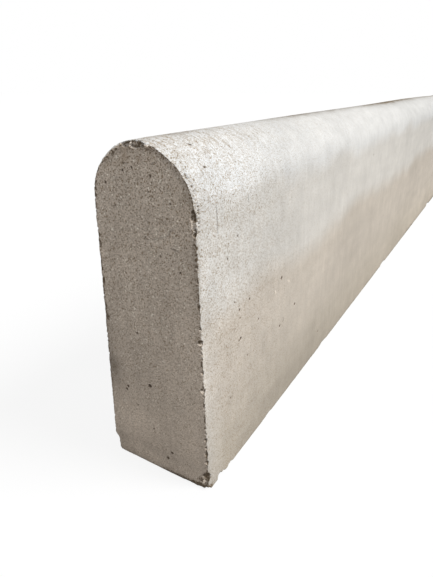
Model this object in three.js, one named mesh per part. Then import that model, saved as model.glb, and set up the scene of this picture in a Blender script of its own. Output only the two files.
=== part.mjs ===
// A round-topped concrete path edging, the small garden kerb stone that is laid on its bed in a
// line with others. It is cast in one piece, so it is one solid. Millimetres, +Z up: the length
// runs along X, the width along Y, and the origin is the middle of the bed face.
import * as THREE from 'three';

// Driving dimensions
const LENGTH = 915; // end face to end face
const HEIGHT = 150; // bed to the top of the crown
const BASE_WIDTH = 55; // widest, just above the bed
const CROWN_RADIUS = 23.5; // the half-round top, which makes it 47 wide there
const BED_ARRIS = 2; // rounded long edges between the bed and the two sides
const END_ARRIS = 1.5; // rounded edges all the way round each end face

// Facets on the round stretches
const CROWN_STEPS = 36;
const BED_ARRIS_STEPS = 4;
const END_ARRIS_STEPS = 3;

const CAST_CONCRETE = new THREE.MeshStandardMaterial({
  name: 'cast_concrete',
  color: '#b9b1a6',
  roughness: 0.92,
  metalness: 0,
});

// The mould opens upwards, so both sides lean in from the bed to the crown. Each side is the
// straight line that touches the bed arris below and the crown above. This is the angle that
// its outward normal makes with the horizontal.
function sideDraft(crownCentre, arrisCentre) {
  const across = arrisCentre.x - crownCentre.x;
  const up = crownCentre.y - arrisCentre.y;
  const apart = Math.hypot(across, up);
  return Math.acos((CROWN_RADIUS - BED_ARRIS) / apart) - Math.atan2(up, across);
}

function arc(centre, radius, from, to, steps) {
  return new THREE.ArcCurve(centre.x, centre.y, radius, from, to, false).getPoints(steps);
}

// The cross-section, anticlockwise from the right-hand end of the bed: x is across the stone,
// y is up.
function sectionOutline() {
  const crownCentre = new THREE.Vector2(0, HEIGHT - CROWN_RADIUS);
  const rightArris = new THREE.Vector2(BASE_WIDTH / 2 - BED_ARRIS, BED_ARRIS);
  const leftArris = new THREE.Vector2(-rightArris.x, rightArris.y);
  const draft = sideDraft(crownCentre, rightArris);
  const down = -Math.PI / 2;
  return new THREE.Shape([
    ...arc(rightArris, BED_ARRIS, down, draft, BED_ARRIS_STEPS),
    ...arc(crownCentre, CROWN_RADIUS, draft, Math.PI - draft, CROWN_STEPS),
    ...arc(leftArris, BED_ARRIS, Math.PI - draft, Math.PI - down, BED_ARRIS_STEPS),
  ]);
}

// The section is swept along the length, and the end arrises take their rounding out of it.
function kerbStone() {
  const geometry = new THREE.ExtrudeGeometry(sectionOutline(), {
    depth: LENGTH - 2 * END_ARRIS,
    bevelEnabled: true,
    bevelThickness: END_ARRIS,
    bevelSize: END_ARRIS,
    bevelOffset: -END_ARRIS,
    bevelSegments: END_ARRIS_STEPS,
  });
  const stone = new THREE.Mesh(geometry, CAST_CONCRETE);
  stone.name = 'kerb_stone';
  // The sweep runs along the mesh's own z, which is turned to lie along the stone's length.
  const across = new THREE.Vector3(0, 1, 0);
  const up = new THREE.Vector3(0, 0, 1);
  const along = new THREE.Vector3(1, 0, 0);
  stone.quaternion.setFromRotationMatrix(new THREE.Matrix4().makeBasis(across, up, along));
  stone.position.x = END_ARRIS - LENGTH / 2;
  return stone;
}

const edging = new THREE.Group();
edging.add(kerbStone());

export default edging;
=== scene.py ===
"""The looks of a round-topped concrete path edging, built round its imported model.

The stone is one cast piece. Its visual mesh starts as a box of even cells, is shaped to the
section, is cut finer where the surface is broken, and is then worn: crumbly arrises, chipped
corners, blow holes and faintly wavy cast faces. Lengths are in metres, unless a name ends
in MM. The near end is the one on the -X side, and x in the lists of single features is
measured from it.
"""
import math
import random
from collections import namedtuple

import bmesh
import bpy
import numpy as np
from mathutils import Matrix, Vector, kdtree, noise


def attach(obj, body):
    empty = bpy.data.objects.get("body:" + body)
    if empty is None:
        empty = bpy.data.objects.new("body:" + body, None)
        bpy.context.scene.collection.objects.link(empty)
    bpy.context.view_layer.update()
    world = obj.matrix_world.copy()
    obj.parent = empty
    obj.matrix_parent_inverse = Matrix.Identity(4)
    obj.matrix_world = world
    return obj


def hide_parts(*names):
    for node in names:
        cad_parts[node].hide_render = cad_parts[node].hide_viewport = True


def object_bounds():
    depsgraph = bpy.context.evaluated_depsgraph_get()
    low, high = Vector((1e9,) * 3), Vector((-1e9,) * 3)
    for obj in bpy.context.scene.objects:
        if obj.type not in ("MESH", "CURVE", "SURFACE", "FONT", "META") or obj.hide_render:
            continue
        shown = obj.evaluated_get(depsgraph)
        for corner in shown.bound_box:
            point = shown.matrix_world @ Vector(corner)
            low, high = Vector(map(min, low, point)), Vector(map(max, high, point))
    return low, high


bl_info = {
    "name": "Round-topped Concrete Edging",
    "version": (1, 0, 0),
    "blender": (4, 5, 0),
    "location": "View3D > Sidebar > Edging",
    "description": "Makes a worn, cast concrete path edging and a plain studio round it",
    "category": "Add Mesh",
}

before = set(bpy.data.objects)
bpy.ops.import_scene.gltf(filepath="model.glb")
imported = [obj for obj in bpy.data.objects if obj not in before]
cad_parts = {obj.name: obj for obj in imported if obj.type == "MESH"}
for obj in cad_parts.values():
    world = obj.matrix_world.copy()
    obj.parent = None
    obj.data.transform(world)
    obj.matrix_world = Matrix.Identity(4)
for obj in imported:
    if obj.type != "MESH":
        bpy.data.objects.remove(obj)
CAD_LOW, CAD_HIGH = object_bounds()
CAD_SIZE = CAD_HIGH - CAD_LOW

MM = 0.001
NODE = "kerb_stone"
PIECE = "kerb_stone_cast"

# ---------------------------------------------------------------- single features

# Blow holes on the near end, as (y, z, radius).
END_PITS_MM = (
    (16.8, 133.7, 0.6), (7.8, 138.9, 0.5), (3.4, 140.3, 0.5), (-5.0, 137.9, 0.5),
    (-3.6, 132.2, 0.4), (12.9, 125.4, 0.4), (-13.1, 129.0, 0.5), (-0.8, 115.0, 0.4),
    (14.5, 112.5, 0.4), (-7.4, 108.7, 0.4), (-16.2, 103.7, 0.5), (7.4, 71.4, 0.6),
    (15.6, 41.2, 0.7), (16.5, 39.3, 0.7), (2.5, 46.2, 1.0), (10.6, 32.6, 0.5),
    (2.1, 22.4, 0.5), (-7.6, 12.7, 0.8), (-5.1, 8.4, 0.8),
)
# Blow holes on the side and crown that face -Y, as (x, z, radius).
SIDE_PITS_MM = (
    (16.5, 147.3, 0.8), (13.6, 140.2, 0.6), (21.5, 103.7, 0.6), (30.0, 110.9, 0.5),
    (40.3, 78.6, 0.7), (30.8, 77.2, 0.7), (49.5, 64.4, 0.6), (31.6, 62.8, 0.8),
    (30.0, 62.2, 0.6), (31.2, 73.1, 0.5), (26.6, 82.6, 0.5), (38.1, 50.6, 0.5),
    (75.9, 75.9, 0.9), (95.3, 53.1, 0.9), (74.9, 48.6, 0.8), (21.3, 37.0, 0.5),
)
# Notches in the near end's -Y arris, as (z, reach).
NOTCHES_MM = (
    (111.4, 1.6), (107.0, 1.4), (91.5, 1.5), (88.2, 1.2), (82.0, 1.4), (76.0, 3.0),
    (73.2, 1.3), (71.2, 1.1), (69.0, 1.2), (62.5, 2.2), (53.8, 2.8), (51.0, 1.5),
    (47.0, 1.3), (40.0, 1.1), (35.0, 1.2), (32.0, 1.4), (28.6, 2.2), (24.4, 1.5),
    (20.9, 2.1), (16.0, 2.3),
)
# Stretches where the near end's arris crumbled away, as (y, z, reach, extra width).
CRUMBLED_MM = (
    (-24.0, 121.0, 5, 0.3), (-24.2, 103.0, 8, 0.15), (-25.5, 55.0, 45, 0.12),
    (-1.0, 149.8, 3, 0.3), (9.0, 148.2, 3, 0.5), (15.0, 144.0, 6, 0.8),
)
# Where the near end's -Y arris is chewed into small grains, as (lowest z, highest z, width).
CHEWED_MM = (118.5, 141.5, 2.8)
# Bigger breaks, as (x, y, z, way in, reach, depth, wall, dust).
CORNER_BREAKS_MM = (
    (10.0, -27.5, 0, (0, 1, 1), 2.2, 1.6, 0.4, 0.2),
    (12.4, -27.5, 0, (0, 1, 1), 2.4, 1.0, 0.8, 0.2),
    (19.4, -27.5, 0, (0, 1, 1), 2.8, 0.7, 0.8, 0.2),
    (0, -26.8, 7.4, (1, 0.5, -0.1), 2.7, 1.9, 0.6, 1),
    (0, -25.5, 4.2, (1, 0, 0), 1.8, 1.0, 0.8, 1),
    (0, -27.3, 0, (0.6, 0.5, 1.4), 3.1, 1.9, 0.9, 1),
    (0, -23.6, 0, (0.3, 0, 1), 3.4, 0.6, 1.0, 1),
    (0, -17.5, 0, (0.4, 0, 1), 5.0, 0.4, 1.0, 0.6),
    (0, 27.5, 3.2, (0, -1, 0), 6.6, 2.5, 0.7, 0.4),
    (0, 25.0, 0, (0.2, -1, 1.2), 2.2, 0.9, 1.0, 0.4),
    (0, 5.8, 149.0, (1, 0, -0.2), 2.2, 1.0, 0.3, 0.3),
    (0, 1.2, 149.6, (1, 0, -0.1), 2.9, 1.5, 0.3, 0.3),
    (0, -2.0, 148.8, (1, 0, -0.3), 1.2, 0.9, 0.6, 1),
    (0, -3.8, 149.4, (0.7, 0.5, -1), 1.7, 0.6, 1.0, 0),
    (0, -22.5, 127.2, (1, 0.2, 0), 1.0, 1.1, 0.7, 1),
    (0, -23.1, 125.0, (1, 0.2, 0), 2.1, 1.6, 0.6, 0.7),
    (0, -23.2, 122.2, (1, 0.1, 0), 1.6, 1.0, 0.6, 0.1),
    (0, -23.4, 120.8, (1, 0.1, 0), 1.1, 1.2, 0.6, 1),
    (0, -23.2, 119.4, (1, 0.1, 0), 1.2, 1.0, 0.7, 0.8),
    (62, -27.5, 0, (0, 1, 1), 4, 0.5, 1.0, 1),
    (151, -27.5, 0, (0, 1, 1), 7, 0.6, 1.0, 1),
    (330, -27.5, 0, (0, 1, 1), 9, 1.2, 1.0, 1),
    (612, -27.5, 0, (0, 1, 1), 12, 2.2, 0.8, 1),
    (96, 27.5, 0, (0, -1, 1), 7, 1.8, 0.8, 1),
    (402, 27.5, 0, (0, -1, 1), 10, 2.2, 0.8, 1),
    (655, 27.5, 0, (0, -1, 1), 6, 1.4, 1.0, 1),
    (915, -27.5, 0, (-1, 1, 1), 9, 3.2, 0.7, 1),
    (915, 22, 137, (-1, -0.8, -0.4), 8, 2.4, 0.8, 1),
)
# Grains that stand proud of a break, as (x, y, z, radius, share darker or paler). The paler
# shares are partly the grains' clean stone and partly a painted highlight.
PEBBLES_MM = (
    (1.0, -24.4, 3.9, 0.9, 0.7), (0.8, -22.6, 122.7, 0.6, 0.3), (0.9, -23.4, 121.7, 0.6, 0.3),
    (0.7, -22.6, 120.1, 0.5, 0.3), (1.2, 1.4, 148.5, 0.5, 0.3), (1.3, -0.5, 148.1, 0.5, 0.3),
    (1.2, 2.6, 148.8, 0.5, 0.3), (1.1, -1.3, 148.9, 0.5, 0.3), (1.2, 0.4, 149.2, 0.45, 0.3),
    (0.7, -22.4, 126.1, 0.45, -0.1), (0.9, -23.2, 124.9, 0.5, -0.2), (0.6, -22.3, 124.0, 0.4, 0),
    (1.5, -23.7, 125.9, 0.5, -0.1),
    (0.6, 3.7, 148.9, 0.5, 0.7), (0.6, 2.8, 148.7, 0.45, 0.7), (0.7, 1.9, 148.5, 0.4, 0.6),
    (0.6, -2.7, 148.8, 0.5, 0.7), (0.7, -3.5, 148.5, 0.55, 0.7), (0.6, -4.3, 148.7, 0.5, 0.6),
)
# Where dirt holds on the end and the arris, and where painted shade darkens the underside of the
# near end's lower edge, as (x, y, z, spread in x, spread in y, spread in z, depth).
DIRT_AND_SHADE_MM = (
    # The two below are painted shade along the underside of the near end's lower edge.
    (0, -25.5, 0.7, 3, 4.5, 1.7, 2.6), (0, -17.0, 0.2, 2, 10.0, 1.2, 2.2),
    (0, -26.6, 7.4, 1.8, 2.0, 2.4, 2.0), (0, -23.3, 4.9, 1.0, 1.4, 1.2, 1.6),
    (0, -23.4, 125.2, 0.8, 1.2, 2.2, 0.8),
    (0, 5.8, 149.3, 0.6, 2.4, 0.7, 1.2), (0, -0.6, 148.6, 0.5, 2.2, 1.1, 0.7),
    (0, -4.4, 147.4, 0.4, 1.8, 0.5, 0.8),
    (0, 23.3, 112.0, 0.8, 0.7, 1.0, 2.6), (0, 23.4, 108.6, 0.8, 0.7, 1.2, 2.6),
    (0, 23.8, 101.6, 0.8, 0.6, 1.0, 2.2), (0, 23.9, 97.5, 0.8, 0.6, 1.0, 2.4),
    (0, 23.8, 92.6, 0.8, 0.9, 1.9, 1.7), (0, 24.3, 88.0, 0.8, 0.6, 1.2, 2.2),
    (0, 24.4, 79.6, 0.8, 0.8, 1.8, 2.2), (0, 23.9, 75.2, 0.8, 1.3, 1.8, 1.8),
)
# Fine lines on the -Y side, as (x, z, to x, to z, share darker or paler).
SIDE_LINES_MM = (
    (14.2, 129.0, 14.7, 114.5, -0.38), (39.4, 126.5, 39.6, 122.0, -0.35),
    (42.6, 129.5, 41.4, 125.5, -0.25), (21.8, 130.1, 33.6, 130.9, 0.15),
    (79.0, 48.6, 79.8, 51.9, -0.3), (79.6, 48.8, 80.2, 51.5, -0.3),
    (83.8, 72.0, 85.8, 70.0, 0.5), (86.4, 71.1, 87.4, 69.3, 0.5), (68.0, 72.4, 69.4, 69.4, 0.45),
)
# Fine lines on the near end, as (y, z, to y, to z, share darker or paler).
END_LINES_MM = (
    # The first line below is a painted highlight: the pale lip under a chip in the crown's rim.
    (3.6, 147.6, -0.2, 147.0, 0.95), (-5.4, 141.8, -7.9, 143.0, -0.45),
    (7.9, 141.5, 4.7, 141.3, -0.3), (13.3, 134.0, 10.0, 136.5, -0.25),
    (0.5, 114.4, -3.4, 114.1, -0.3), (-3.0, 114.1, -11.9, 117.0, -0.3),
    (-11.4, 116.7, -13.6, 120.3, -0.35), (-12.2, 112.7, -16.6, 111.6, -0.4),
)
# Soft marks, as (x, y, z, spread in x, spread in y, spread in z, share darker or paler).
MARKS_MM = (
    (0, 25, 52, 4, 7, 6, -0.16), (0, 12, 62, 4, 16, 22, -0.12), (0, 25, 60, 4, 5, 20, -0.17),
    (0, 23.4, 105, 1.5, 1.3, 1.9, 0.32), (0, 23.0, 118.5, 1.5, 1.2, 1.6, 0.18),
    # The last mark below, a paler foot of the near end, is painted light that stands in for
    # light bounced up from the floor.
    (0, 26, 44, 4, 9, 8, -0.22), (0, 15, 22, 4, 14, 9, 0.19), (0, 4, 4, 4, 20, 3.5, 0.17),
    (0, 2, 10.5, 4, 22, 2.8, -0.08), (0, -20, 19, 4, 8, 9, 0.09), (0, -2, 141, 4, 16, 7, 0.05),
    (0, 0, 102, 4, 30, 10, 0.04), (0, -22, 95, 4, 9, 18, 0.05),
    # The second mark below, a pale band beside the near end's -Y arris, is partly dust and
    # partly a painted highlight.
    (1, -27, 14, 2.5, 5, 12, -0.12), (1.2, -26, 58, 1.6, 4, 22, 0.10),
    (1.6, -20, 129, 2.6, 8, 10, 0.20), (42, -21, 130, 16, 8, 7, 0.06),
    # The last mark below darkens the foot of the side near the end, partly as painted shade.
    (4, -27, 8, 22, 9, 14, 0.06), (14, -27, 17, 7, 9, 9, 0.06), (85, -27, 4, 70, 9, 20, -0.16),
    (85, -25, 98, 35, 9, 20, -0.11), (22, -26, 38, 14, 9, 16, -0.03),
    (68, -25, 86, 20, 9, 12, 0.06), (235, -25, 84, 50, 9, 14, 0.06),
    # These two lift the foot of the side far along, where its painted shade fades.
    (480, -27, 8, 180, 9, 12, 0.09), (490, -27, 26, 150, 9, 12, 0.09),
    (480, -25, 95, 120, 9, 25, -0.06), (570, -20, 130, 110, 12, 18, -0.09),
    (430, -20, 130, 100, 12, 16, -0.05),
    (400, -8, 147, 110, 8, 8, -0.06), (570, -8, 147, 120, 8, 8, -0.07),
    (640, -15, 125, 330, 20, 28, -0.06),
    # The first mark below is a painted highlight: the pale wedge of crown skin under the near
    # end's rim.
    (0.6, -4.0, 149.0, 1.2, 1.6, 0.8, 0.55), (0, 0.1, 1.7, 1.0, 0.8, 0.7, 0.5),
)
# Brown grime, as (x, y, z, spread in x, spread in y, spread in z, share).
GRIME_MM = (
    (25, 1, 150, 25, 5, 6, 0.42), (140, 1, 150, 40, 4.5, 6, 0.70),
    (215, 0.5, 150, 50, 5, 6, 0.50), (300, 0, 150, 36, 5, 6, 0.75),
    (368, 0, 150, 40, 6, 6, 1.40), (455, 0, 150, 52, 6, 6, 0.85),
    (590, 0, 150, 110, 6, 6, 0.70),
    (1.2, -22, 130, 2.4, 6, 9, 0.30), (0.6, -24.6, 104, 1.8, 4, 16, 0.30),
    (0, 22.6, 49.4, 2, 1.7, 3.0, 0.34),
    (330, -27.5, 0, 400, 4, 1.1, 0.45), (465, -27.5, 0, 28, 4, 2.0, 0.7),
    (560, -27.5, 0, 70, 4, 1.5, 0.4), (650, -27.5, 0, 28, 4, 3.0, 0.7),
)
# Dips in the crown, as (x, y, z, spread in x, spread in y, spread in z, depth), and how far
# under the crown they still squeeze the stone.
DIPS_MM = (
    (0, -12.8, 146.2, 4.5, 13, 11, 1.4), (330, 0, 150, 130, 22, 14, 0.8),
    (640, 0, 150, 160, 22, 14, 1.6), (700, 0, 150, 70, 22, 14, 1.2),
)
DIP_SQUEEZE_MM = 6

# ---------------------------------------------------------------- drawn features

# Small chips along the end arrises: the usual gap between them at each end, and the least
# and the greatest reach.
NEAR_CHIP_GAP_MM = 5
FAR_CHIP_GAP_MM = 9
CHIP_REACH_MM = (0.5, 1.2)
# Grains lost from the chewed arris. Dust below 0 takes dirt away there.
CHEWED_GRAINS = 180
GRAIN_RADIUS_MM = (0.3, 0.65)
GRAIN_DUST = (-0.6, 2.3)
# Shallow blow holes past the chosen ones: how many, where along the stone, and where round
# the outline, as a share of it.
DRAWN_PITS = 60
DRAWN_PITS_ALONG_MM = (130, 900)
DRAWN_PITS_ROUND = (0.03, 0.97)
DRAWN_PIT_RADIUS_MM = (0.4, 1.0)
# The share of a break that slopes.
NOTCH_WALL = 0.8
PIT_WALL = 0.6
SHALLOW_PIT_WALL = 0.8
# How ragged the outline and the floor of a break are, as shares of its reach and its depth,
# and the lumps of that floor.
RAGGED_OUTLINE = 0.3
RAGGED_FLOOR = 0.25
FLOOR_LUMP_MM = 0.9
# Fine lines are rows of tiny breaks this far apart.
LINE_STEP_MM = 0.25
LINE_REACH_MM = 0.34
LINE_DEPTH_MM = 0.1

# ---------------------------------------------------------------- the mesh's finish

# How far apart in the noise two seeds read it, in lumps.
NOISE_APART = 17.31
# How much the width of the crumbled arrises varies, as a share, and how dusty they are.
UNEVENNESS = 0.8
CRUMBLE_DUST = 0.6
# How far the grain of the cast faces and the rubble of the breaks dip.
GRAIN_DIP_MM = 0.03
RUBBLE_DIP_MM = 0.4
# Edges that bend more than SHARP are shaded sharp. Past FOLDED the mesh has folded over, and
# is relaxed in this many passes.
SHARP = math.radians(55)
FOLDED = math.radians(110)
FOLD_PASSES = 20

# ---------------------------------------------------------------- the concrete's patterns

# How wide the patches, streaks and grains of each pattern are. The real fines of the paste
# are under 0.1 mm and are drawn coarser, so that they show.
CLOUD_MM = 60
BLOTCH_MM = 12
STREAK_MM = 3
DRIFT_MM = 7
SCUFF_MM = 1.2
SAND_MM = 0.5
FINES_MM = 0.3
SMEAR_MM = 4
CRUMB_MM = 0.8
GRIT_MM = 0.5
GRIT_BUMP_MM = 0.12
# The two tints of the colour that a pattern runs between, as linear factors.
CLOUD_TINTS = ((0.94, 0.94, 0.94, 1), (1.06, 1.06, 1.06, 1))
SCUFF_TINTS = ((0.6, 0.51, 0.4, 1), (1.02, 1.02, 1.02, 1))
SKIN_FINES_TINTS = ((0.54, 0.42, 0.28, 1), (1.155, 1.19, 1.23, 1))
END_FINES_TINTS = ((0.37, 0.335, 0.28, 1), (1.205, 1.24, 1.27, 1))
DARK_SAND_TINTS = ((0.55, 0.49, 0.41, 1), (1.02, 1.02, 1.03, 1))
PALE_SAND_TINTS = ((1.42, 1.53, 1.6, 1), (0.99, 0.99, 0.99, 1))

# ---------------------------------------------------------------- the studio

FLOOR_HALF = 6.0
# The share of the floor that the camera sees as plain white.
FLOOR_WHITE = 0.75
# The key light comes from the -Y side and from above, and misses the near end.
KEY_WAY = (0.24, -0.66, 0.71)
KEY_SOFTNESS = math.radians(25)
# The lens: its focal length in pixels, for a picture this high, and the sensor's longer side.
FOCAL_PIXELS = 459.13
PICTURE_HEIGHT = 577
SENSOR_MM = 36.0
# The camera's place from the middle of the near end's foot, and its angles in degrees: the
# heading runs from +X towards +Y.
CAMERA_MM = (-126.72, -108.99, 167.87)
CAMERA_HEADING = 31.30
CAMERA_DOWN = 24.26
CAMERA_ROLL = -0.285


# ---------------------------------------------------------------- settings

def linear(hex_code):
    """An sRGB hex colour as linear RGBA."""
    parts = [int(hex_code[i:i + 2], 16) / 255 for i in (0, 2, 4)]
    return [c / 12.92 if c <= 0.04045 else ((c + 0.055) / 1.055) ** 2.4 for c in parts] + [1]


class EdgingStoneSettings(bpy.types.PropertyGroup):
    """Sizes of the stone and of its wear."""

    length: bpy.props.FloatProperty(
        name="Length", description="End face to end face",
        default=CAD_SIZE.x, unit="LENGTH")
    height: bpy.props.FloatProperty(
        name="Height", description="Bed to the top of the crown",
        default=CAD_SIZE.z, unit="LENGTH")
    bed_width: bpy.props.FloatProperty(
        name="Bed Width", description="Width of the stone at its bed",
        default=CAD_SIZE.y, unit="LENGTH")
    crown_radius: bpy.props.FloatProperty(
        name="Crown Radius", description="Radius of the half-round top",
        default=23.5 * MM, unit="LENGTH")
    cell: bpy.props.FloatProperty(
        name="Cell", description="Mesh cell on the plain faces, before it is cut finer",
        default=5 * MM, unit="LENGTH")
    arris_wear: bpy.props.FloatProperty(
        name="Arris Wear", description="Usual width of the crumbled arrises",
        default=0.12 * MM, unit="LENGTH")
    waviness: bpy.props.FloatProperty(
        name="Waviness", description="How far the cast faces dip between high spots",
        default=0.2 * MM, unit="LENGTH")
    seed: bpy.props.IntProperty(
        name="Seed", description="Which chips and blow holes are drawn", default=7)


class EdgingConcreteSettings(bpy.types.PropertyGroup):
    """Colours of the cast concrete."""

    # The foot, side, washed and crown colours run from darker and warmer at the bed to paler and
    # greyer at the top. They are partly the stone's own weathering, and partly painted shade
    # towards the bed and a painted highlight on the crown.
    foot: bpy.props.FloatVectorProperty(
        name="Foot", description="Dusty stone at the bed",
        default=linear("a59c8e"), size=4, subtype="COLOR")
    side: bpy.props.FloatVectorProperty(
        name="Side", description="Cement paste of the lower side",
        default=linear("b5aca0"), size=4, subtype="COLOR")
    washed: bpy.props.FloatVectorProperty(
        name="Washed", description="Paler stone above the old ground line",
        default=linear("c4c0b9"), size=4, subtype="COLOR")
    crown: bpy.props.FloatVectorProperty(
        name="Crown", description="Rubbed, rain-washed top",
        default=linear("cac9c6"), size=4, subtype="COLOR")
    # The brown of the ends is painted: it is the warm tint that the shaded end faces take.
    ends: bpy.props.FloatVectorProperty(
        name="Ends", description="Browner skin of the two end faces",
        default=linear("c4b5a5"), size=4, subtype="COLOR")
    # The dust colour also lays the painted shade under the near end's lower edge.
    dust: bpy.props.FloatVectorProperty(
        name="Dust", description="Dirt held in pits and breaks",
        default=linear("6a5c4b"), size=4, subtype="COLOR")
    grime: bpy.props.FloatVectorProperty(
        name="Grime", description="Brown line that rain leaves along the top",
        default=linear("6f614d"), size=4, subtype="COLOR")


class EdgingStudioSettings(bpy.types.PropertyGroup):
    """Lights and floor."""

    key: bpy.props.FloatProperty(
        name="Key Light", description="Strength of the broad light from the side", default=3.3)
    fill: bpy.props.FloatProperty(
        name="Fill", description="Strength of the even light from all round", default=0.4)
    floor: bpy.props.FloatVectorProperty(
        name="Floor", description="Pale paper",
        default=linear("b4b4b4"), size=4, subtype="COLOR")
    floor_glow: bpy.props.FloatProperty(
        name="Floor Glow", description="White that the camera sees in the floor", default=1.17)


# ---------------------------------------------------------------- the section

class Section:
    """The cross-section's outline, worked out from the driving sizes."""

    def __init__(self, stone):
        self.radius = stone.crown_radius
        self.spring = stone.height - stone.crown_radius
        self.half_bed = stone.bed_width / 2
        apart = math.hypot(self.half_bed, self.spring)
        self.draft = math.atan2(self.half_bed, self.spring) - math.asin(self.radius / apart)
        self.side = math.sqrt(apart ** 2 - self.radius ** 2)
        self.girth = 2 * self.side + self.radius * (math.pi - 2 * self.draft)

    def half_width(self, z):
        """Half the width between the two leaning sides at height z."""
        return self.half_bed - z * math.tan(self.draft)

    def skin(self, points):
        """How deep points lie under the sides and crown, and the way out as y and z parts."""
        y, up = points[:, 1], points[:, 2] - self.spring
        lean_y, lean_z = math.cos(self.draft), math.sin(self.draft)
        reach = np.maximum(np.hypot(y, up), 1e-9)
        on_crown = up > np.abs(y) * math.tan(self.draft)
        flat = (self.half_bed - np.abs(y)) * lean_y - points[:, 2] * lean_z
        depth = np.where(on_crown, self.radius - reach, flat)
        out_y = np.where(on_crown, y / reach, np.sign(y) * lean_y)
        out_z = np.where(on_crown, up / reach, lean_z)
        return depth, out_y, out_z

    def round(self, distance):
        """The point this far round the outline from the -Y bed corner, and the way in."""
        past = self.girth - distance
        if min(distance, past) > self.side:
            turn = math.pi - self.draft - (distance - self.side) / self.radius
            out = Vector((0, math.cos(turn), math.sin(turn)))
            return Vector((0, 0, self.spring)) + out * self.radius, -out
        sign = -1 if distance < past else 1
        z = min(distance, past) * math.cos(self.draft)
        out = Vector((0, sign * math.cos(self.draft), math.sin(self.draft)))
        return Vector((0, sign * self.half_width(z), z)), -out

    def at_height(self, z):
        """The -Y outline point at height z, and the way in."""
        if z <= self.spring + self.radius * math.sin(self.draft):
            return self.round(z / math.cos(self.draft))
        turn = math.pi - math.asin((z - self.spring) / self.radius)
        return self.round(self.side + (math.pi - self.draft - turn) * self.radius)


# ---------------------------------------------------------------- breaks

# A break eats into the stone round its centre, as far as its reach. Wall is the share of it
# that slopes, so that a small wall leaves a flat floor. Squeeze is how much shorter it is up
# and down than across, and dust is how much dirt it holds.
Break = namedtuple("Break", "centre inward reach depth wall squeeze dust", defaults=(1, 1))


def corner_breaks(stone):
    """The bigger breaks that are listed."""
    for x, y, z, way, reach, depth, wall, dust in CORNER_BREAKS_MM:
        centre = Vector((x, y, z)) * MM - Vector((stone.length / 2, 0, 0))
        yield Break(centre, Vector(way).normalized(), reach * MM, depth * MM, wall, dust=dust)


def notch(end, place, inward, reach, rng):
    """A notch that eats more into the end face than into the side."""
    centre = Vector((end.x, place.y, place.z))
    lean = rng.uniform(0.1, 0.5)
    way = (Vector((-math.copysign(1, end.x), 0, 0)) + inward * lean).normalized()
    depth = reach * rng.uniform(0.4, 0.6)
    return Break(centre, way, reach, depth, NOTCH_WALL, squeeze=rng.uniform(1.4, 2.2))


def arris_chips(stone, section, rng):
    """Notches in the near end's -Y arris, small chips drawn along both ends' arrises, and the
    grains that the chewed arris has lost, which lie closer together towards the end."""
    near, far = Vector((-stone.length / 2, 0, 0)), Vector((stone.length / 2, 0, 0))
    for z, reach in NOTCHES_MM:
        yield notch(near, *section.at_height(z * MM), reach * MM, rng)
    for end, gap_mm in ((near, NEAR_CHIP_GAP_MM), (far, FAR_CHIP_GAP_MM)):
        distance = rng.uniform(1, 4) * MM
        while distance < section.girth:
            yield notch(end, *section.round(distance), rng.uniform(*CHIP_REACH_MM) * MM, rng)
            distance += rng.uniform(0.3, 1.7) * gap_mm * MM
    lowest, highest, width = CHEWED_MM
    for _ in range(CHEWED_GRAINS):
        place, inward = section.at_height(rng.uniform(lowest, highest) * MM)
        place.x = near.x + width * rng.random() ** 1.5 * MM
        radius = rng.uniform(*GRAIN_RADIUS_MM) * MM
        dust = rng.uniform(*GRAIN_DUST)
        yield Break(place, inward, radius, radius * 0.8, wall=1.0, dust=dust)


def pits(stone, section, rng):
    """Blow holes: the listed ones, and shallower ones drawn over the rest."""
    near = -stone.length / 2
    for y, z, radius in END_PITS_MM:
        centre = Vector((near, y * MM, z * MM))
        yield Break(centre, Vector((1, 0, 0)), radius * MM, radius * MM, PIT_WALL)
    for x, z, radius in SIDE_PITS_MM:
        place, inward = section.at_height(z * MM)
        place.x = near + x * MM
        yield Break(place, inward, radius * MM, radius * MM, PIT_WALL)
    for _ in range(DRAWN_PITS):
        place, inward = section.round(rng.uniform(*DRAWN_PITS_ROUND) * section.girth)
        place.x = near + rng.uniform(*DRAWN_PITS_ALONG_MM) * MM
        radius = rng.uniform(*DRAWN_PIT_RADIUS_MM) * MM
        yield Break(place, inward, radius, radius * 0.7, SHALLOW_PIT_WALL, dust=0.5)


def fine_lines(stone, section):
    """Fine lines as rows of tiny breaks that overlap, each with the share that it is darker
    or paler, which fades towards the line's ends."""
    near = -stone.length / 2
    for on_side, lines in ((True, SIDE_LINES_MM), (False, END_LINES_MM)):
        for across, z, to_across, to_z, share in lines:
            steps = round(math.dist((across, z), (to_across, to_z)) / LINE_STEP_MM)
            for step in range(steps + 1):
                part = step / steps
                aside = (across + (to_across - across) * part) * MM
                height = (z + (to_z - z) * part) * MM
                place, inward = Vector((near, aside, height)), Vector((1, 0, 0))
                if on_side:
                    place, inward = section.at_height(height)
                    place.x = near + aside
                dot = Break(place, inward, LINE_REACH_MM * MM, LINE_DEPTH_MM * MM, wall=1.0)
                yield dot, share * (1 - abs(2 * part - 1) ** 3)


# ---------------------------------------------------------------- the mesh

def arris_distance(points, stone, section):
    """How far points are from the nearest arris."""
    end = stone.length / 2 - np.abs(points[:, 0])
    skin = section.skin(points)[0]
    bed = points[:, 2]
    pairs = (np.hypot(end, skin), np.hypot(end, bed), np.hypot(skin, bed))
    return np.minimum.reduce(pairs)


def near_breaks(points, breaks, spare_mm):
    """Whether points are within a break's reach, or this much past it."""
    found = np.zeros(len(points), bool)
    for gap in breaks:
        away = np.abs(points - np.array(gap.centre)).max(axis=1)
        found |= away < gap.reach + spare_mm * MM
    return found


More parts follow.
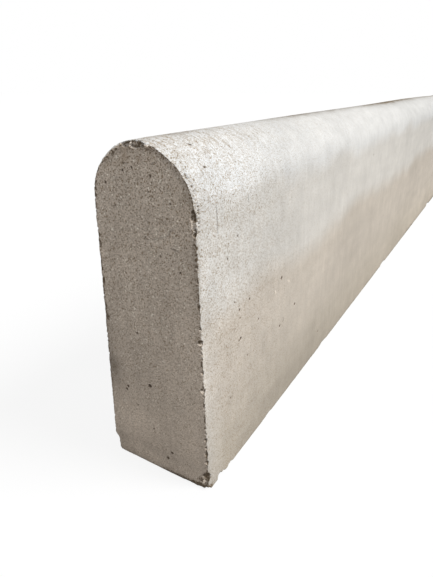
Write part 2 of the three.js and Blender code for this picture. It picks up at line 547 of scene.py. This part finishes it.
def even_box(bm, stone):
    """A box of even square cells, with its bed on z = 0."""
    size = Vector((stone.length, stone.bed_width, stone.height))
    bmesh.ops.create_cube(bm, size=1)
    bmesh.ops.translate(bm, vec=(0, 0, 0.5), verts=bm.verts)
    bmesh.ops.scale(bm, vec=size, verts=bm.verts)
    for axis in range(3):
        runs = [e for e in bm.edges
                if abs(e.verts[0].co[axis] - e.verts[1].co[axis]) > size[axis] / 2]
        cuts = round(size[axis] / stone.cell) - 1
        bmesh.ops.subdivide_edges(bm, edges=runs, cuts=cuts, use_grid_fill=True)


def shape_section(bm, stone, section):
    """Leans the sides in and rounds the top of the box into the crown."""
    for vert in bm.verts:
        across = vert.co.y / (stone.bed_width / 2)
        rise = max(vert.co.z - section.spring, 0) / section.radius
        if rise > 0:
            vert.co.y = section.radius * across * math.sqrt(1 - rise ** 2 / 2)
            vert.co.z = section.spring + section.radius * rise * math.sqrt(1 - across ** 2 / 2)
        else:
            vert.co.y = across * section.half_width(vert.co.z)


def cut_finer(bm, wanted):
    """Cuts every wanted face into four. wanted takes the faces' centres."""
    centres = np.array([face.calc_center_median() for face in bm.faces])
    chosen = wanted(centres)
    edges = {edge for face, cut in zip(bm.faces, chosen) if cut for edge in face.edges}
    bmesh.ops.subdivide_edges(
        bm, edges=list(edges), cuts=1, use_grid_fill=True, use_single_edge=True)


def settle_skin(bm, section):
    """Puts the vertices of the sides and crown exactly on the outline."""
    bm.normal_update()
    skin = [v for v in bm.verts
            if any(f.normal.z > -0.5 and abs(f.normal.x) < 0.5 for f in v.link_faces)]
    points = np.array([v.co for v in skin])
    depth, out_y, out_z = section.skin(points)
    for vert, push, y, z in zip(skin, depth, out_y, out_z):
        vert.co.y += push * y
        vert.co.z = max(vert.co.z + push * z, 0)


def stone_mesh(stone, section, chips, holes, lines):
    """The unbroken stone, cut finer near the near end, the arrises and the breaks."""
    bm = bmesh.new()
    even_box(bm, stone)
    shape_section(bm, stone, section)
    near = -stone.length / 2
    breaks = chips + holes
    close = [gap for gap in breaks if gap.centre.x - near < 100 * MM]
    small = [gap for gap in close if gap.reach < 3 * MM]

    def by_end(centres, reach_mm):
        return (centres[:, 0] - near < reach_mm * MM) & (centres[:, 2] > 0.1 * MM)

    def by_arris(centres, reach_mm):
        return arris_distance(centres, stone, section) < reach_mm * MM

    def crumbles(centres):
        reach = 0.3 * MM + 1.3 * arris_width(centres, stone)
        return arris_distance(centres, stone, section) < reach

    # Each round halves the cells, closer to the wear than the last.
    cut_finer(bm, lambda c: by_end(c, 110) | by_arris(c, 6) | near_breaks(c, breaks, 4))
    cut_finer(bm, lambda c: by_end(c, 30) | by_arris(c, 3) | near_breaks(c, breaks, 1.5)
              | near_breaks(c, lines, 2.4))
    cut_finer(bm, lambda c: by_end(c, 12) & by_arris(c, 3.5) | near_breaks(c, close, 0.8)
              | near_breaks(c, holes, 0.5) | near_breaks(c, lines, 1.2))
    cut_finer(bm, lambda c: by_end(c, 4) & crumbles(c) | near_breaks(c, small, 0.2)
              | near_breaks(c, lines, 0.3))
    settle_skin(bm, section)
    return bm


# ---------------------------------------------------------------- wear

def field(points, size, seed):
    """Soft noise from -1 to 1, with lumps about this size. Each seed reads it elsewhere."""
    moved = points / size + seed * NOISE_APART
    return np.array([noise.noise(p) for p in moved.tolist()])


def ramp(values, low, high):
    """Runs evenly from 0 at low to 1 at high, and stays there past them."""
    return np.clip((values - low) / (high - low), 0, 1)


def bell(values, middle, spread):
    """A soft hump, which is 1 at its middle."""
    return np.exp(-((values - middle) / spread) ** 2)


def arris_width(points, stone):
    """How wide the arris has crumbled at each point."""
    usual = stone.arris_wear
    width = usual * (1 + UNEVENNESS * field(points, 7 * MM, seed=1)
                     + UNEVENNESS * field(points, 2.2 * MM, seed=2))
    lumps = 1 + UNEVENNESS * field(points, 1.3 * MM, seed=4)
    from_end = points[:, 0] + stone.length / 2
    for y, z, reach, extra in CRUMBLED_MM:
        spread = np.hypot(points[:, 1] - y * MM, points[:, 2] - z * MM)
        spread = np.hypot(spread, from_end)
        width += extra * MM * bell(spread, 0, reach * MM) * lumps
    return np.maximum(width, 0.2 * usual)


def crumble_arrises(points, stone, section):
    """Takes the arrises off, where each two of the end, the skin and the bed meet."""
    width = arris_width(points, stone)
    end_sign = np.sign(points[:, 0])
    none, one = np.zeros(len(points)), np.ones(len(points))
    for pair in (("end", "skin"), ("end", "bed"), ("skin", "bed")):
        skin, out_y, out_z = section.skin(points)
        end = stone.length / 2 - np.abs(points[:, 0])
        # How deep the points lie under each face, and the way out of it.
        faces = {
            "end": (end, np.stack([end_sign, none, none], 1)),
            "skin": (skin, np.stack([none, out_y, out_z], 1)),
            "bed": (points[:, 2], np.stack([none, none, -one], 1)),
        }
        (depth, out), (other_depth, other_out) = (faces[name] for name in pair)
        over = np.maximum(width - depth - other_depth, 0)[:, None]
        points -= over / 2 * (out + other_out)


def scoop(points, tree, gap, seed):
    """Takes a break with a ragged outline and floor out of the surface. Yields the index of
    each point that it moves, and how far that point sank."""
    drift = Vector((seed * 1.7, 0, 0))
    # Where the outline is ragged, it runs up to 1.4 times the reach.
    for place, index, _ in tree.find_range(gap.centre, 1.4 * gap.reach + gap.depth):
        offset = Vector(points[index]) - gap.centre
        along = offset.dot(gap.inward)
        across = offset - gap.inward * along
        across.z *= gap.squeeze
        spread = across.length / gap.reach
        spread *= 1 + RAGGED_OUTLINE * noise.noise(place / (0.6 * gap.reach) + drift)
        if spread >= 1:
            continue
        depth = gap.depth * min(1, (1 - spread ** 2) / gap.wall)
        depth *= 1 + RAGGED_FLOOR * noise.noise(place / (FLOOR_LUMP_MM * MM) + drift)
        if depth > along:
            points[index] += np.array(gap.inward) * (depth - along)
            yield index, depth - along


def take_out(points, tree, breaks, held):
    """Takes breaks out of the surface, and adds the depth of the dirt in them to held."""
    for seed, gap in enumerate(breaks):
        for index, sunk in scoop(points, tree, gap, seed):
            held[index] += sunk * gap.dust


def draw_lines(points, tree, lines, tone):
    """Scratches the fine lines in. Where their dots overlap, only the last one adds tone."""
    drawn = {}
    for dot, share in lines:
        drawn.update({index: share for index, _ in scoop(points, tree, dot, 0)})
    for index, share in drawn.items():
        tone[index] += share


def raise_pebbles(points, tree, stone, broken, tone):
    """Brings single clean grains out of the breaks, each with its own tone. Where that tone is
    paler, it is partly a painted highlight.
    """
    for x, y, z, radius, share in PEBBLES_MM:
        centre = Vector((x, y, z)) * MM - Vector((stone.length / 2, 0, 0))
        for _, index, _ in tree.find_range(centre, 3 * radius * MM):
            offset = Vector(points[index]) - centre
            if offset.length < radius * MM:
                points[index] = centre + offset.normalized() * radius * MM
                broken[index] = 0
                tone[index] = share


def soft_spots(points, stone, spots):
    """The sum of soft-edged spots at each point."""
    total = np.zeros(len(points))
    near = np.array((-stone.length / 2, 0, 0))
    for x, y, z, spread_x, spread_y, spread_z, amount in spots:
        away = (points - near) / MM - np.array((x, y, z))
        away /= np.array((spread_x, spread_y, spread_z))
        total += amount * np.exp(-(away ** 2).sum(axis=1))
    return total


def end_rims(points, stone, section):
    """The rims of the end faces: the share that they are darker or paler, and how deep dirt
    holds in them. The darker share is painted shade, darkest high on the -Y side. High on the +Y
    side the rim is worn clean and paler, and the paleness is partly a painted highlight."""
    # These distances are all in mm, and edge is the one from the rim.
    end = (stone.length / 2 - np.abs(points[:, 0])) / MM
    skin = section.skin(points)[0] / MM
    y, z = points[:, 1] / MM, points[:, 2] / MM
    edge = np.hypot(end, np.minimum(skin, z))
    on_end = end < 0.1 + 0.5 * skin
    patchy = np.clip(0.25 + 2.8 * field(points, 1.3 * MM, seed=9), 0, 1)
    on_crown = ramp(z, 128, 136) * ramp(y, 8, 0)
    below = bell(z, 110, 15) * (y < 0)
    worn = ramp(z, 139, 142) * ramp(y, 6, 9)

    # Painted shade: a soft dark band inside the rims of the end faces, broadest under the crown
    # and strong on the -Y side round z 110, and a ring inside the +Y rim high up.
    shade = 0.24 * on_crown * ramp(edge, 4, 1.6)
    shade += 0.25 * below * bell(edge, 0, 2.2) + 0.08 * bell(edge, 0, 1)
    shade += 0.2 * worn * bell(edge, 2.2, 1.4)
    # Paler and worn clean of dirt at the outer +Y rim high up. The paleness is partly a painted
    # highlight.
    rubbed_and_highlit = worn * (1 - 0.6 * patchy) * bell(edge, 0, 1.3)

    # The +Y rim holds less dirt low down and more round the crown, and the -Y rim is even.
    reach = np.where(y > 0, 1.2, 0.9) - 0.5 * worn
    held = np.where(y > 0, np.interp(z, (26, 40, 122, 130), (0.2, 0.65, 0.65, 1.4)), 0.8)
    dirt = 2.2 * held * patchy * bell(edge, 1.5 * worn, reach) * on_end
    dirt += below * patchy * bell(edge, 0, 1.6) - 1.2 * rubbed_and_highlit
    return np.where(on_end, -shade, 0) + 0.6 * rubbed_and_highlit, dirt * MM


def end_skin(points, stone, section):
    """How fully points lie on an end face, from 0 at its arrises to 1 just inside them."""
    depth = section.skin(points)[0]
    on_face = np.abs(points[:, 0]) > stone.length / 2 - 0.01 * MM
    return on_face * np.minimum(depth / (0.2 * MM), 1)


def sink_crown(points, start, stone, section):
    """Lowers the crown where it has a dip, and squeezes the stone just below it."""
    depth, out_y, out_z = section.skin(start)
    sink = soft_spots(start, stone, DIPS_MM) * MM
    sink *= np.clip(1 - depth / (DIP_SQUEEZE_MM * MM), 0, 1)
    points[:, 1] -= sink * out_y
    points[:, 2] -= sink * out_z


def roughen(bm, points, start, stone, broken):
    """Moves the mesh to the worn points, and lets its surface dip: in waves and a fine grain
    all over, and in rubble where it is broken. The foot of the stone stays flat."""
    dip = stone.waviness * (0.5 + 0.5 * field(start, 90 * MM, seed=5))
    dip += GRAIN_DIP_MM * MM * (1 + field(start, 3 * MM, seed=6))
    rubble = RUBBLE_DIP_MM * MM * ramp(broken, 0, 0.5 * MM)
    dip += rubble * (0.5 + 0.5 * field(start, 0.8 * MM, seed=8))
    dip *= ramp(start[:, 2], 0, 2 * MM)
    bm.normal_update()
    for vert, point, sink in zip(bm.verts, points, dip):
        vert.co = Vector(point) - vert.normal * float(sink)
        vert.co.z = max(vert.co.z, 0)


def ease_folds(bm):
    """Relaxes the small spots where breaks that overlap folded the mesh over itself."""
    bmesh.ops.triangulate(bm, faces=bm.faces[:])
    for _ in range(FOLD_PASSES):
        bm.normal_update()
        folded = [edge for edge in bm.edges if edge.calc_face_angle(0) > FOLDED]
        corners = {vert for edge in folded for face in edge.link_faces for vert in face.verts}
        corners |= {edge.other_vert(vert) for vert in corners for edge in vert.link_edges}
        bmesh.ops.smooth_vert(
            bm, verts=[vert for vert in bm.verts if vert in corners], factor=0.5,
            use_axis_x=True, use_axis_y=True, use_axis_z=True)


def keep_on_vertices(bm, layers):
    """Writes named values to the vertices, where the material reads them."""
    for name, values in layers.items():
        layer = bm.verts.layers.float.new(name)
        for vert, value in zip(bm.verts, values):
            vert[layer] = value


def shade_faces(bm):
    """Shades the surface smooth, apart from the edges that bend far."""
    bm.normal_update()
    for face in bm.faces:
        face.smooth = True
    for edge in bm.edges:
        edge.smooth = edge.calc_face_angle(0) < SHARP


def build_stone(stone):
    """The whole stone as a bmesh. Its vertices hold how much dirt their breaks and blow holes
    hold, in mm, which also holds painted shade under the near end's lower edge, the share that
    they are darker or paler, which also holds painted shade and painted highlights, how fully
    they lie on an end and the share of grime."""
    section = Section(stone)
    rng = random.Random(stone.seed)
    chips = list(corner_breaks(stone)) + list(arris_chips(stone, section, rng))
    holes = list(pits(stone, section, rng))
    lines = list(fine_lines(stone, section))
    bm = stone_mesh(stone, section, chips, holes, [dot for dot, _ in lines])

    points = np.array([v.co for v in bm.verts])
    start = points.copy()
    tree = kdtree.KDTree(len(points))
    for index, point in enumerate(points):
        tree.insert(point, index)
    tree.balance()
    # The tone gathers painted shade and painted highlights with the real marks, and the dirt
    # gathers painted shade under the near end's lower edge with the real dirt.
    tone, dirt = end_rims(start, stone, section)
    tone += soft_spots(start, stone, MARKS_MM)
    dirt += soft_spots(start, stone, DIRT_AND_SHADE_MM) * MM

    crumble_arrises(points, stone, section)
    broken = np.maximum(CRUMBLE_DUST * np.linalg.norm(points - start, axis=1) + dirt, 0)
    hollow = np.zeros(len(points))
    take_out(points, tree, chips, broken)
    take_out(points, tree, holes, hollow)
    draw_lines(points, tree, lines, tone)
    # The browner ends colour, a painted warm tint of their shade, is lost from pale marks and
    # from breaks.
    sunk = np.linalg.norm(points - start, axis=1)
    on_end = end_skin(start, stone, section)
    on_end *= np.clip(2 - 4 * tone, 0, 1) * np.clip(1.2 - sunk / (0.5 * MM), 0.6, 1)
    raise_pebbles(points, tree, stone, broken, tone)
    sink_crown(points, start, stone, section)
    roughen(bm, points, start, stone, broken)
    ease_folds(bm)
    keep_on_vertices(bm, {"broken": broken / MM, "hollow": hollow / MM, "tone": tone,
                          "end": on_end, "grime": soft_spots(start, stone, GRIME_MM)})
    shade_faces(bm)
    return bm


# ---------------------------------------------------------------- materials

def new_tree(owner):
    """An empty node tree on a new material or world."""
    owner.use_nodes = True
    owner.node_tree.nodes.clear()
    return owner.node_tree


def add(tree, kind, inputs=None, **settings):
    """Adds a node with its settings, and sets or links its inputs. A node that is given as an
    input is linked from its first output in use."""
    node = tree.nodes.new("ShaderNode" + kind)
    for name, value in settings.items():
        setattr(node, name, value)
    for name, value in (inputs or {}).items():
        if isinstance(name, int):
            socket = node.inputs[name]
        else:
            socket = next(s for s in node.inputs if s.name == name and s.enabled)
        if isinstance(value, bpy.types.Node):
            value = next(s for s in value.outputs if s.enabled)
        if isinstance(value, bpy.types.NodeSocket):
            tree.links.new(value, socket)
        else:
            socket.default_value = value
    return node


def cast_concrete(colours, stone):
    """Cast concrete: sharp sand in cement paste, pressed in a steel mould. Matt, paler towards
    the worn crown and darker towards the bed, partly from weathering and partly as a painted
    highlight and painted shade, with a fine warm grain that shows most at the ends and the top,
    cloudy patches, faint drifts along the stone and dust in every pit."""
    material = bpy.data.materials.new("cast_concrete")
    tree = new_tree(material)
    place = add(tree, "TexCoord").outputs["Object"]
    axes = add(tree, "SeparateXYZ", {"Vector": place})
    far_out = add(tree, "Math", {0: axes.outputs["X"]}, operation="ABSOLUTE")
    half = stone.length / 2

    # Clouds and blotches are uneven paste and damp. Streaks are drawn out up the stone, drifts
    # along it and scuffs round it. Smears, crumbs and grit break up the grime, the dust and
    # the sheen.
    upright = add(tree, "Mapping", {"Vector": place, "Scale": (1, 1, 0.2)})
    along = add(tree, "Mapping", {"Vector": place, "Scale": (0.25, 1, 1)})
    around = add(tree, "Mapping", {"Vector": place, "Scale": (1, 0.3, 0.3)})
    clouds, blotches, streaks, drifts, scuffs, smears, crumbs, grit = (
        add(tree, "TexNoise", {"Vector": way, "Scale": 1 / (width * MM), "Detail": detail})
        for way, width, detail in (
            (place, CLOUD_MM, 3), (place, BLOTCH_MM, 3), (upright, STREAK_MM, 2),
            (along, DRIFT_MM, 3), (around, SCUFF_MM, 3), (place, SMEAR_MM, 2),
            (place, CRUMB_MM, 2), (place, GRIT_MM, 3)))
    # Grains of sand, and the fines of the paste.
    sand = add(tree, "TexVoronoi", {"Vector": place, "Scale": 1 / (SAND_MM * MM)})
    sand = add(tree, "SeparateColor", {"Color": sand.outputs["Color"]}).outputs["Red"]
    fines = add(tree, "TexVoronoi", {"Vector": place, "Scale": 1 / (FINES_MM * MM)})
    fines = add(tree, "SeparateColor", {"Color": fines.outputs["Color"]}).outputs["Green"]

    # Bands of colour from the bed up, in mm, with borders that the clouds bend. They are partly
    # weathering and partly painted light: painted shade towards the bed and a painted highlight
    # on the crown.
    drift = add(tree, "MapRange", {"Value": clouds, "To Min": -12 * MM, "To Max": 12 * MM})
    level = add(tree, "Math", {0: axes.outputs["Z"], 1: drift}, operation="ADD")
    colour = colours.foot
    for shade, start, full in ((colours.side, -5, 60), (colours.washed, 76, 94),
                               (colours.crown, 120, 132)):
        rise = add(tree, "MapRange", {"Value": level, "From Min": start * MM,
                                      "From Max": full * MM}, interpolation_type="SMOOTHSTEP")
        colour = add(tree, "Mix", {"Factor": rise, "A": colour, "B": shade}, data_type="RGBA")
    # Near the end arrises the colour is evened out towards the washed colour, partly by rubbing
    # and partly as a painted highlight beside the arrises.
    edge = add(tree, "MapRange", {"Value": far_out, "From Min": half - 16 * MM,
                                  "From Max": half - 1 * MM, "To Max": 0.45})
    colour = add(tree, "Mix", {"Factor": edge, "A": colour, "B": colours.washed},
                 data_type="RGBA")
    # The end faces take the ends colour, a painted warm tint of their shade.
    on_end = add(tree, "Attribute", attribute_name="end").outputs["Fac"]
    colour = add(tree, "Mix", {"Factor": on_end, "A": colour, "B": colours.ends},
                 data_type="RGBA")

    # How bare the grain is: worn at the ends, and covered with fine dust towards the middle
    # and the bed.
    worn = add(tree, "MapRange", {"Value": far_out, "From Min": half - 100 * MM,
                                  "From Max": half - 20 * MM, "To Min": 0.3})
    inner = add(tree, "MapRange", {"Value": far_out, "From Min": half - 350 * MM,
                                   "From Max": half - 100 * MM, "To Min": 0.3})
    worn = add(tree, "Math", {0: worn, 1: inner}, operation="MULTIPLY")
    bare = add(tree, "MapRange", {"Value": level, "From Min": 20 * MM, "From Max": 120 * MM,
                                  "To Min": 0.58})
    bare = add(tree, "Math", {0: bare, 1: worn}, operation="MULTIPLY")
    # The rubbed top of the crown, near the ends.
    top = add(tree, "MapRange", {"Value": level, "From Min": 136 * MM, "From Max": 147 * MM})
    top = add(tree, "Math", {0: top, 1: worn}, operation="MULTIPLY")
    bare_end = add(tree, "Math", {0: bare, 1: on_end}, operation="MULTIPLY")

    # Each pattern runs between two tints of the colour. The fines are browner and softer on
    # the sides and crown than on the ends, and the palest sand shows on the ends alone.
    fines_tints = [add(tree, "Mix", {"Factor": on_end, "A": skin, "B": end}, data_type="RGBA")
                   for skin, end in zip(SKIN_FINES_TINTS, END_FINES_TINTS)]
    for pattern, low, high, (first, second), strength in (
            (clouds, 0.3, 0.7, CLOUD_TINTS, 1.0), (blotches, 0.3, 0.7, CLOUD_TINTS, 0.7),
            (streaks, 0.3, 0.7, CLOUD_TINTS, 0.7), (drifts, 0.3, 0.7, CLOUD_TINTS, 0.6),
            (scuffs, 0.73, 0.47, SCUFF_TINTS, top), (fines, 0.0, 0.5, fines_tints, bare),
            (sand, 0.04, 0.09, DARK_SAND_TINTS, bare),
            (sand, 0.97, 0.94, PALE_SAND_TINTS, bare_end)):
        share = add(tree, "MapRange", {"Value": pattern, "From Min": low, "From Max": high})
        tint = add(tree, "Mix", {"Factor": share, "A": first, "B": second}, data_type="RGBA")
        colour = add(tree, "Mix", {"Factor": strength, "A": colour, "B": tint},
                     data_type="RGBA", blend_type="MULTIPLY")
    # The single marks, lines and grains, with the painted shade and painted highlights that the
    # tone also holds.
    tone = add(tree, "Attribute", attribute_name="tone").outputs["Fac"]
    marks = add(tree, "Math", {0: tone, 1: 1.0}, operation="ADD")
    colour = add(tree, "Mix", {"Factor": 1.0, "A": colour, "B": marks},
                 data_type="RGBA", blend_type="MULTIPLY")

    # Patchy grime along the top.
    smears = add(tree, "MapRange", {"Value": smears, "From Min": 0.3, "From Max": 0.7,
                                    "To Min": 0.4, "To Max": 1.6})
    grime = add(tree, "Attribute", attribute_name="grime").outputs["Fac"]
    grime = add(tree, "Math", {0: grime, 1: smears}, operation="MULTIPLY", use_clamp=True)
    colour = add(tree, "Mix", {"Factor": grime, "A": colour, "B": colours.grime},
                 data_type="RGBA")

    # Dust darkens the blow holes and, less, the deeper broken arrises. Through the broken layer
    # it also lays painted shade under the near end's lower edge.
    crumbs = add(tree, "MapRange", {"Value": crumbs, "From Min": 0.57, "From Max": 0.48})
    for layer, least, full, most in (("hollow", 0.05, 0.3, 0.85), ("broken", 0.25, 0.7, crumbs),
                                     ("broken", 1.0, 1.8, 0.8)):
        depth = add(tree, "Attribute", attribute_name=layer).outputs["Fac"]
        dusty = add(tree, "MapRange", {"Value": depth, "From Min": least, "From Max": full,
                                       "To Max": most})
        colour = add(tree, "Mix", {"Factor": dusty, "A": colour, "B": colours.dust},
                     data_type="RGBA")

    # Matt, with a grit that is felt most where the grain is bare.
    rough = add(tree, "MapRange", {"Value": blotches, "To Min": 0.84, "To Max": 0.98})
    felt = add(tree, "Math", {0: worn, 1: 0.2}, operation="MULTIPLY")
    bump = add(tree, "Bump", {"Height": grit, "Strength": felt, "Distance": GRIT_BUMP_MM * MM})
    shader = add(tree, "BsdfPrincipled", {"Base Color": colour, "Roughness": rough,
                                          "Specular IOR Level": 0.3, "Normal": bump})
    add(tree, "OutputMaterial", {"Surface": shader})
    return material


def paper_floor(studio):
    """Matt paper. The camera sees it mostly as white, so that its shadow stays faint."""
    material = bpy.data.materials.new("paper_floor")
    tree = new_tree(material)
    paper = add(tree, "BsdfDiffuse", {"Color": studio.floor})
    glow = add(tree, "Emission", {"Strength": studio.floor_glow})
    seen = add(tree, "LightPath").outputs["Is Camera Ray"]
    share = add(tree, "Math", {0: seen, 1: FLOOR_WHITE}, operation="MULTIPLY")
    both = add(tree, "MixShader", {"Fac": share, 1: paper, 2: glow})
    add(tree, "OutputMaterial", {"Surface": both})
    return material


def white_world(studio):
    """White to the camera and in reflections, and an even fill light for the rest."""
    world = bpy.data.worlds.new("white_world")
    tree = new_tree(world)
    path = add(tree, "LightPath")
    seen = add(tree, "Math", {0: path.outputs["Is Camera Ray"],
                              1: path.outputs["Is Glossy Ray"]}, operation="MAXIMUM")
    seen = add(tree, "Math", {0: seen, 1: path.outputs["Is Transmission Ray"]},
               operation="MAXIMUM")
    level = add(tree, "MapRange", {"Value": seen, "To Min": studio.fill, "To Max": 1.0})
    sky = add(tree, "Background", {"Color": (1, 1, 1, 1), "Strength": level})
    add(tree, "OutputWorld", {"Surface": sky})
    return world


# ---------------------------------------------------------------- operators

def place_object(context, name, data):
    """A new object in the scene."""
    made = bpy.data.objects.new(name, data)
    context.collection.objects.link(made)
    return made


def to_mesh(bm, name, material):
    """A mesh of one material from a bmesh, which is freed."""
    mesh = bpy.data.meshes.new(name)
    bm.to_mesh(mesh)
    bm.free()
    mesh.materials.append(material)
    return mesh


class EDGING_OT_stone(bpy.types.Operator):
    """Make the cast stone in place of the plain node"""

    bl_idname = "edging.stone"
    bl_label = "Edging Stone"

    def execute(self, context):
        stone = context.scene.edging_stone
        material = cast_concrete(context.scene.edging_concrete, stone)
        piece = place_object(context, PIECE, to_mesh(build_stone(stone), PIECE, material))
        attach(piece, "root")
        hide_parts(NODE)
        return {"FINISHED"}


class EDGING_OT_studio(bpy.types.Operator):
    """Make the floor, the lights and the camera"""

    bl_idname = "edging.studio"
    bl_label = "Studio"

    def execute(self, context):
        studio = context.scene.edging_studio
        bm = bmesh.new()
        bmesh.ops.create_grid(bm, x_segments=1, y_segments=1, size=FLOOR_HALF)
        floor = place_object(context, "floor", to_mesh(bm, "floor", paper_floor(studio)))

        lamp = bpy.data.lights.new("key", "SUN")
        lamp.energy = studio.key
        lamp.angle = KEY_SOFTNESS
        key = place_object(context, "key", lamp)
        key.rotation_euler = Vector(KEY_WAY).to_track_quat("Z", "Y").to_euler()

        lens = bpy.data.cameras.new("camera")
        lens.sensor_width = SENSOR_MM
        lens.lens = FOCAL_PIXELS * SENSOR_MM / PICTURE_HEIGHT
        lens.clip_start = 10 * MM
        camera = place_object(context, "camera", lens)
        near_foot = Vector((-context.scene.edging_stone.length / 2, 0, 0))
        heading = Matrix.Rotation(math.radians(CAMERA_HEADING - 90), 4, "Z")
        tilt = Matrix.Rotation(math.radians(90 - CAMERA_DOWN), 4, "X")
        roll = Matrix.Rotation(math.radians(CAMERA_ROLL), 4, "Z")
        place = Matrix.Translation(near_foot + Vector(CAMERA_MM) * MM)
        camera.matrix_world = place @ heading @ tilt @ roll
        context.scene.camera = camera

        context.scene.world = white_world(studio)
        context.scene.view_settings.view_transform = "Standard"
        return {"FINISHED"}


class EDGING_PT_panel(bpy.types.Panel):
    """Lists the makers and their settings"""

    bl_label = "Edging"
    bl_space_type = "VIEW_3D"
    bl_region_type = "UI"
    bl_category = "Edging"

    def draw(self, context):
        scene = context.scene
        for group in (scene.edging_stone, scene.edging_concrete, scene.edging_studio):
            box = self.layout.box()
            for name in group.__annotations__:
                box.prop(group, name)
        for operator in (EDGING_OT_stone, EDGING_OT_studio):
            self.layout.operator(operator.bl_idname)


SETTINGS = {
    "edging_stone": EdgingStoneSettings,
    "edging_concrete": EdgingConcreteSettings,
    "edging_studio": EdgingStudioSettings,
}
CLASSES = (*SETTINGS.values(), EDGING_OT_stone, EDGING_OT_studio, EDGING_PT_panel)


def register():
    for cls in CLASSES:
        bpy.utils.register_class(cls)
    for name, group in SETTINGS.items():
        setattr(bpy.types.Scene, name, bpy.props.PointerProperty(type=group))


def unregister():
    for name in SETTINGS:
        delattr(bpy.types.Scene, name)
    for cls in reversed(CLASSES):
        bpy.utils.unregister_class(cls)


def main():
    """Makes everything."""
    register()
    bpy.ops.edging.stone()
    bpy.ops.edging.studio()


if __name__ == "__main__":
    main()
